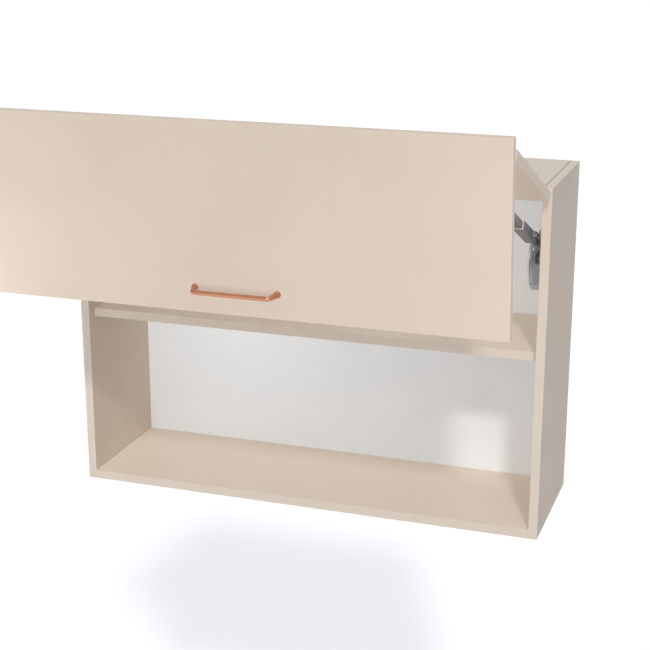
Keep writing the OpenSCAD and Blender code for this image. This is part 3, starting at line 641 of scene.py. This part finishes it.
def plated(name, colour, low, high, brush=(1, 1, 1), tone=0.9):
    """Plated metal: brushing along one direction, clouds in the gloss and faint darker handling spots."""
    f = Finish(name, colour, (low + high) / 2, 1.0)
    hair = f.pattern("Noise", 1100.0, brush, Detail=3.0, Roughness=0.7)
    cloud = f.pattern("Noise", 60.0, Detail=4.0, Roughness=0.6)
    spot = f.pattern("Noise", 240.0, Detail=5.0, Roughness=0.7)
    f.shade(spot, tone, 1.03, 0.32, 0.6, over=f.shade(cloud, 0.95, 1.04))
    f.rough(cloud, low, high)
    f.relief((hair, 0.000006), (spot, 0.000004))
    return f.material


def copper_plating(name, colour):
    """Satin copper: brushing round the bar, a warm and a cooler tone in slow clouds, and rubbed spots."""
    f = Finish(name, colour, 0.3, 1.0, Anisotropic=0.35)
    hair = f.pattern("Noise", 900.0, (1.0, 0.16, 0.16), Detail=4.0, Roughness=0.75)
    cloud = f.pattern("Noise", 38.0, Detail=4.0)
    spot = f.pattern("Noise", 260.0, Detail=6.0, Roughness=0.75)
    first = f.shade(cloud, (0.93, 0.86, 0.82), (1.04, 1.03, 1.04))
    f.shade(spot, 0.88, 1.02, 0.30, 0.56, over=f.shade(hair, 0.95, 1.02, over=first))
    f.rough(cloud, 0.27, 0.40)
    f.relief((hair, 0.000010), (spot, 0.000005))
    return f.material


def moulded(name, colour, low=0.42, high=0.56, cheek=None):
    """Moulded plastic: a spark-eroded skin of fine pits, with slow flow clouds in the gloss.

    With cheek, a second colour, the flat cheek of a lift cover, which is clipped to its wall, is lighter:
    partly a paler grey moulding, partly painted light standing in for the light on the cover's front rim."""
    f = Finish(name, colour, 0.5, IOR=1.49)
    pit = f.pattern("Voronoi", 1500.0, Randomness=1.0)
    flow = f.pattern("Noise", 35.0, (1, 1, 2), Detail=3.0)
    tone = f.shade(flow, 0.965, 1.02)
    if cheek is not None:
        # partly painted light: the cheek is made lighter in place of the light falling on the cover's front
        # rim, partly a paler moulding
        tone = f.patch(f.near((1.0, 0.0, 0.0), 0.0, CHEEK_AT * MM, 0.0034), cheek, tone)
    f.shade(pit, 0.95, 1.0, 0.1, 0.6, over=tone)
    f.rough(flow, low, high)
    f.relief((pit, 0.00003), (f.pattern("Noise", 500.0, Detail=3.0), 0.000018))
    return f.material


def powder_coat(name, colour, low=0.40, high=0.52, bare=None):
    """Powder coating: a coarse orange peel, a faint sparkle of lighter grains and rubbed lighter spots.

    With bare, a second colour, the metal shows where the channel of a lift arm is sawn off."""
    f = Finish(name, colour, 0.46, 0.15)
    peel = f.pattern("Noise", 620.0, Detail=2.0)
    grain = f.pattern("Voronoi", 2600.0, Randomness=1.0)
    rub = f.pattern("Noise", 75.0, Detail=6.0, Roughness=0.8)
    tone = f.shade(rub, 0.96, 1.22, 0.5, 0.78, over=f.shade(grain, 1.06, 0.94, 0.15, 0.55))
    if bare is not None:
        end = ARM_CUT_AT * MM
        f.patch(f.spread(f.along(ARM_WAY), 0.0, 1.0, end - 0.0007, end - 0.0003), bare, tone)
    f.rough(rub, high, low)
    f.relief((peel, 0.00005), (grain, 0.00001))
    return f.material


def wound_wire(name, colour):
    """Oiled spring wire: drawing lines, dark oil clouds and a lower gloss where it is dry."""
    f = Finish(name, colour, 0.3, 1.0)
    oil = f.pattern("Noise", 210.0, Detail=4.0, Roughness=0.65)
    line = f.pattern("Noise", 2400.0, (1, 0.3, 1), Detail=2.0)
    f.shade(line, 0.94, 1.03, over=f.shade(oil, 0.72, 1.05))
    f.rough(oil, 0.20, 0.42)
    f.relief((line, 0.000005))
    return f.material


def beech(name, colour):
    """Turned beech: long growth lines along the peg with short dark flecks."""
    f = Finish(name, colour, 0.62)
    ring = f.pattern("Noise", 420.0, (0.06, 1, 1), Detail=5.0, Roughness=0.6)
    fleck = f.pattern("Voronoi", 900.0, (0.15, 1, 1), Randomness=1.0)
    f.shade(fleck, 0.80, 1.03, 0.05, 0.3, over=f.shade(ring, 0.82, 1.10))
    f.rough(ring, 0.55, 0.70)
    f.relief((ring, 0.00004), (fleck, 0.00003))
    return f.material


# the maker, name, colour property and values of each slot's finish, and of the cover clips' own
MAKERS = {
    "door_board": (lacquer, "Door lacquer", "door", {}),
    "carcass_board": (coated_board, "Coated board", "carcass", {"joints": True}),
    "edge_band": (edge_band, "Edge band", "edges", {}),
    "back_board": (coated_board, "White back board", "back", {"grain": True}),
    "copper": (copper_plating, "Satin copper", "copper", {}),
    "dowel_wood": (beech, "Beech dowel", "dowel", {}),
    "white_plastic": (moulded, "White moulding", "white", {}),
    "hinge_steel": (plated, "Nickel plating", "nickel", {"low": 0.20, "high": 0.34, "brush": (0.2, 1, 1)}),
    "screw_steel": (plated, "Zinc plating", "zinc", {"low": 0.26, "high": 0.42, "tone": 0.82}),
    "lift_cover_grey": (moulded, "Grey moulding", "cover", {"low": 0.38, "high": 0.50, "cheek": "cheek"}),
    "cover_clip": (moulded, "Pale grey moulding", "cheek", {"low": 0.38, "high": 0.50}),
    "lift_steel": (powder_coat, "Coated lift steel", "steel", {}),
    "spring_steel": (wound_wire, "Spring wire", "spring", {}),
    "arm_grey": (powder_coat, "Arm coating", "arm", {"bare": "arm_cut"}),
    "rail_steel": (powder_coat, "Rail coating", "rail", {"low": 0.34, "high": 0.46}),
    "dark_plastic": (moulded, "Dark moulding", "dark", {"low": 0.36, "high": 0.50}),
}
FINISHES = {}


def finish_of(slot):
    """The material of a slot, made once from the scene's colours. A value given in words is a colour's name."""
    if slot not in FINISHES:
        colours = bpy.context.scene.cabinet_colours
        make, name, colour, values = MAKERS[slot]
        values = {key: tuple(getattr(colours, value)) if isinstance(value, str) else value
                  for key, value in values.items()}
        FINISHES[slot] = make(name, tuple(getattr(colours, colour)), **values)
    return FINISHES[slot]


def dress(slot, *names):
    """Gives CAD nodes the slot's material."""
    for name in names:
        for place in frame["nodes"][name].material_slots:
            place.material = finish_of(slot)


# ---- operators ----

class CABINET_OT_carcass(bpy.types.Operator):
    """Finishes the carcass boards, their edge bands, dowels, shelf supports and hanging brackets"""

    bl_idname = "cabinet.carcass"
    bl_label = "Carcass"

    def execute(self, context):
        sizes = context.scene.cabinet_sizes
        dress("carcass_board", "left_side", "right_side", "top_panel", "bottom_panel", "shelf")
        dress("back_board", "back_panel")
        dress("edge_band", "side_edge_bands", "board_edge_bands")
        dress("dowel_wood", "corner_dowels")
        dress("hinge_steel", "shelf_supports", "hanger_hooks")
        dress("white_plastic", "hanger_bodies")
        for name in ("left_side", "right_side", "top_panel", "bottom_panel"):
            soften(name, sizes.board_round, clamp=False)
        for name in ("shelf", "side_edge_bands", "board_edge_bands"):
            soften(name, sizes.board_round * 0.4)
        soften("hanger_bodies", sizes.cover_round)
        for name in ("shelf_supports", "hanger_hooks"):
            soften(name, sizes.metal_round)
        return {"FINISHED"}


class CABINET_OT_door(bpy.types.Operator):
    """Finishes the two door leaves"""

    bl_idname = "cabinet.door"
    bl_label = "Door leaves"

    def execute(self, context):
        dress("door_board", "upper_leaf", "lower_leaf")
        for name in ("upper_leaf", "lower_leaf"):
            soften(name, context.scene.cabinet_sizes.leaf_round, 3, clamp=False)
        return {"FINISHED"}


class CABINET_OT_handle(bpy.types.Operator):
    """Makes the copper bar handle as one bent and flared bar"""

    bl_idname = "cabinet.handle"
    bl_label = "Handle"

    def execute(self, context):
        line, radius = bow(context.scene.cabinet_sizes)
        points = np.stack([line[:, 0], -DOOR_GAP - LEAF_THICK - line[:, 1],
                           np.full(len(line), LEAF_FOOT + HANDLE_RISE)], -1)
        path = placed(points, "lower")
        up = placed(points + [0, 0, 1.0], "lower") - path
        grid = tube(path, radius * MM, up, 36)
        settle(skin([grid], "handle_bow"), "handle", finish_of("copper"))
        return {"FINISHED"}


class CABINET_OT_hinges(bpy.types.Operator):
    """Finishes the concealed hinges at the top and between the leaves"""

    bl_idname = "cabinet.hinges"
    bl_label = "Hinges"

    def execute(self, context):
        for row in ("top", "centre"):
            dress("hinge_steel", *(row + part for part in ("_hinge_arms", "_hinge_pins", "_hinge_cups",
                                                           "_cup_pins", "_hinge_links")))
        return {"FINISHED"}


def beside_hinges(out, deep, height):
    """The places of two screws at each hinge, a distance either side of its middle."""
    return [(x + side * out, deep, height) for x in HINGES_AT for side in (-1, 1)]


class CABINET_OT_screws(bpy.types.Operator):
    """Makes the cross-headed screws of the handle, hinges, lifts and arm brackets"""

    bl_idname = "cabinet.screws"
    bl_label = "Screws"

    def execute(self, context):
        sizes = context.scene.cabinet_sizes
        inward, down = (0.0, 1.0, 0.0), (0.0, 0.0, -1.0)
        groups = (
            ("handle_screws", "lower", HANDLE_SCREW, inward,
             [(side * HANDLE_PITCH / 2, -DOOR_GAP, LEAF_FOOT + HANDLE_RISE) for side in (-1, 1)]),
            ("top_cup_screws", "upper", CUP_SCREW, inward, beside_hinges(*TOP_CUP_AT)),
            ("centre_cup_screws", "lower", CUP_SCREW, inward, beside_hinges(*CENTRE_CUP_AT)),
            ("top_hinge_screws", "cabinet", TOP_ARM_SCREW, down, beside_hinges(*TOP_ARM_AT)),
            ("centre_hinge_screws", "upper", CENTRE_ARM_SCREW, inward, beside_hinges(*CENTRE_ARM_AT)),
            ("arm_bracket_screws", "lower", BRACKET_SCREW, inward,
             [(side * (HALF_INSIDE - x), *BRACKET_SCREWS_AT) for side in (-1, 1) for x in BRACKET_SCREWS_IN]),
        )
        for node, pose, size, way, spots in groups:
            grids = [placed(aimed(screw(size, sizes), spot, way), pose) for spot in spots]
            settle(skin(grids, node[:-1] + "_set"), node, finish_of("screw_steel"))
        grids = [placed(aimed(screw(LIFT_SCREW, sizes),
                              (side * (HALF_INSIDE - LIFT_PLATE), LIFT_HUB[0] + deep, LIFT_HUB[1] + up),
                              (-side, 0.0, 0.0)), "cabinet")
                 for side in (-1, 1) for deep, up in LIFT_SCREWS]
        settle(skin(grids, "lift_screw_set"), "lift_screws", finish_of("screw_steel"))
        return {"FINISHED"}


class CABINET_OT_lifts(bpy.types.Operator):
    """Finishes the lifts and their arms, and makes the guard walls and clips of their covers"""

    bl_idname = "cabinet.lifts"
    bl_label = "Lifts"

    def execute(self, context):
        sizes = context.scene.cabinet_sizes
        for side in ("left_", "right_"):
            dress("lift_steel", side + "lift_plate", side + "lift_slide", side + "lift_lever")
            dress("lift_cover_grey", side + "lift_cover")
            dress("hinge_steel", side + "cam_roller")
            dress("arm_grey", side + "arm_channel")
            dress("rail_steel", side + "arm_rail")
            dress("dark_plastic", side + "arm_end")
            dress("screw_steel", side + "arm_rivets")
            soften(side + "lift_cover", sizes.cover_round, 3)
            for part in ("arm_channel", "arm_rail"):
                soften(side + part, sizes.metal_round)
        dress("lift_steel", "spring_seats")
        dress("screw_steel", "lift_force_screws")
        dress("hinge_steel", "lift_pivot_pins", "arm_brackets", "arm_bracket_pins")
        soften("arm_brackets", sizes.metal_round)
        for side, name in ((-1, "left"), (1, "right")):
            walls = guard(side, GUARD_STRIPS, GUARD_LINE, GUARD_THICK, GUARD_ROUND)
            settle(skin(walls, name + "_front_guard"), name + "_lift_cover",
                   finish_of("lift_cover_grey"), False)
            clip = [grid for strip, line in CLIPS
                    for grid in guard(side, (strip,), line, CLIP_THICK, CLIP_ROUND)]
            settle(skin(clip, name + "_cover_clip"), name + "_lift_cover",
                   finish_of("cover_clip"), False)
        return {"FINISHED"}


class CABINET_OT_springs(bpy.types.Operator):
    """Makes the lifts' wound springs"""

    bl_idname = "cabinet.springs"
    bl_label = "Springs"

    def execute(self, context):
        sizes = context.scene.cabinet_sizes
        for side, name in ((-1, "left"), (1, "right")):
            grids = [spring(sizes, side, up * SPRING_GAP) for up in (-1, 1)]
            piece = settle(skin(grids, name + "_coils"), name + "_lift_springs",
                           finish_of("spring_steel"))
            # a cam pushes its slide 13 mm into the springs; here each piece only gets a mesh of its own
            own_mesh(piece)
        return {"FINISHED"}


def make_even_light(scene, strength):
    """White light of one strength from all sides."""
    world = bpy.data.worlds.new("Even light")
    world.use_nodes = True
    sky = world.node_tree.nodes["Background"]
    sky.inputs["Color"].default_value = (1.0, 1.0, 1.0, 1.0)
    sky.inputs["Strength"].default_value = strength
    scene.world = world


def make_floor(scene, height):
    """A pale floor of four by four fields, which doesn't light the cabinet from below."""
    x, y = np.meshgrid(*[np.linspace(-FLOOR_REACH, FLOOR_REACH, 5)] * 2, indexing="ij")
    i, j = np.meshgrid(np.arange(4), np.arange(4), indexing="ij")
    faces = np.stack([i * 5 + j, i * 5 + j + 5, i * 5 + j + 6, i * 5 + j + 1], -1).reshape(-1, 4)
    mesh = bpy.data.meshes.new("studio_floor")
    mesh.from_pydata(np.stack([x, y, np.full_like(x, height)], -1).reshape(-1, 3), [], faces.tolist())
    floor = bpy.data.objects.new("studio_floor", mesh)
    scene.collection.objects.link(floor)
    pale = Finish("Pale floor", (0.93, 0.93, 0.93), 0.8,
                  Emission_Color=(1.0, 1.0, 1.0, 1.0), Emission_Strength=0.16)
    pale.shade(pale.pattern("Noise", 1.5, Detail=2.0), 0.99, 1.0)
    mesh.materials.append(pale.material)
    floor.visible_diffuse = False


def make_lamp(scene, name, kind, energy, place, width, colour, shadow):
    """One light. A sun is turned so that it shines along its way of travel."""
    lamp = bpy.data.lights.new(name, kind)
    lamp.energy = energy
    lamp.color = colour
    lamp.use_shadow = shadow
    light = bpy.data.objects.new(name, lamp)
    if kind == "SUN":
        lamp.angle = width
        travel = np.array(place) / np.linalg.norm(place)
        light.rotation_euler = (math.acos(-travel[2]), 0.0, math.atan2(travel[1], travel[0]) - math.pi / 2)
    else:
        lamp.shadow_soft_size = width
        light.location = place
    scene.collection.objects.link(light)
    return light


def link_light(light, kind, state, names):
    """Ties a light to some pieces, as the only ones or as the only ones left out."""
    group = bpy.data.collections.new(light.name + " " + kind + "s")
    for name in names:
        group.objects.link(frame["nodes"][name] if name in frame["nodes"] else bpy.data.objects[name])
    for member in group.collection_objects:
        member.light_linking.link_state = state
    setattr(light.light_linking, kind + "_collection", group)


def make_camera(scene):
    """The camera at the photograph's viewing angle."""
    lens = bpy.data.cameras.new("Photo view")
    lens.lens, lens.sensor_width = VIEW_LENS, VIEW_SENSOR
    lens.clip_start, lens.clip_end = VIEW_DEPTH
    camera = bpy.data.objects.new("Photo view", lens)
    camera.location = VIEW_PLACE
    camera.rotation_euler = [math.radians(a) for a in VIEW_TURN]
    scene.collection.objects.link(camera)
    scene.camera = camera


class CABINET_OT_stage(bpy.types.Operator):
    """Makes the pale floor, the soft light and the camera"""

    bl_idname = "cabinet.stage"
    bl_label = "Stage"

    def execute(self, context):
        scene, stage = context.scene, context.scene.cabinet_stage
        scene.view_settings.view_transform = "Standard"
        scene.view_settings.look = "None"
        make_even_light(scene, stage.sky)
        make_floor(scene, stage.floor_depth)
        for name, kind, energy, *rest in LIGHTS:
            strength = stage.key if name == "Key" else stage.fill
            light = make_lamp(scene, name, kind, energy * strength, *rest)
            if name in LINKS:
                link_light(light, *LINKS[name])
        make_camera(scene)
        return {"FINISHED"}


class CABINET_PT_panel(bpy.types.Panel):
    """Lists the cabinet's sizes, colours and steps"""

    bl_label = "Wall Cabinet"
    bl_space_type = "VIEW_3D"
    bl_region_type = "UI"
    bl_category = "Wall Cabinet"

    def draw(self, context):
        for name, group in GROUPS:
            box = self.layout.box()
            for prop in group.__annotations__:
                box.prop(getattr(context.scene, name), prop)
        for operator in OPERATORS:
            self.layout.operator(operator.bl_idname)


GROUPS = (
    ("cabinet_sizes", CabinetSizes),
    ("cabinet_colours", CabinetColours),
    ("cabinet_stage", CabinetStage),
)
OPERATORS = (
    CABINET_OT_carcass,
    CABINET_OT_door,
    CABINET_OT_handle,
    CABINET_OT_hinges,
    CABINET_OT_screws,
    CABINET_OT_lifts,
    CABINET_OT_springs,
    CABINET_OT_stage,
)


def register():
    for name, group in GROUPS:
        bpy.utils.register_class(group)
        setattr(bpy.types.Scene, name, PointerProperty(type=group))
    for cls in (*OPERATORS, CABINET_PT_panel):
        bpy.utils.register_class(cls)


def unregister():
    for cls in (CABINET_PT_panel, *reversed(OPERATORS)):
        bpy.utils.unregister_class(cls)
    for name, group in reversed(GROUPS):
        delattr(bpy.types.Scene, name)
        bpy.utils.unregister_class(group)


def main():
    """Registers the add-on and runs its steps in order."""
    register()
    for step in (bpy.ops.cabinet.carcass, bpy.ops.cabinet.door, bpy.ops.cabinet.handle, bpy.ops.cabinet.hinges,
                 bpy.ops.cabinet.screws, bpy.ops.cabinet.lifts, bpy.ops.cabinet.springs, bpy.ops.cabinet.stage):
        step()


if __name__ == "__main__":
    main()
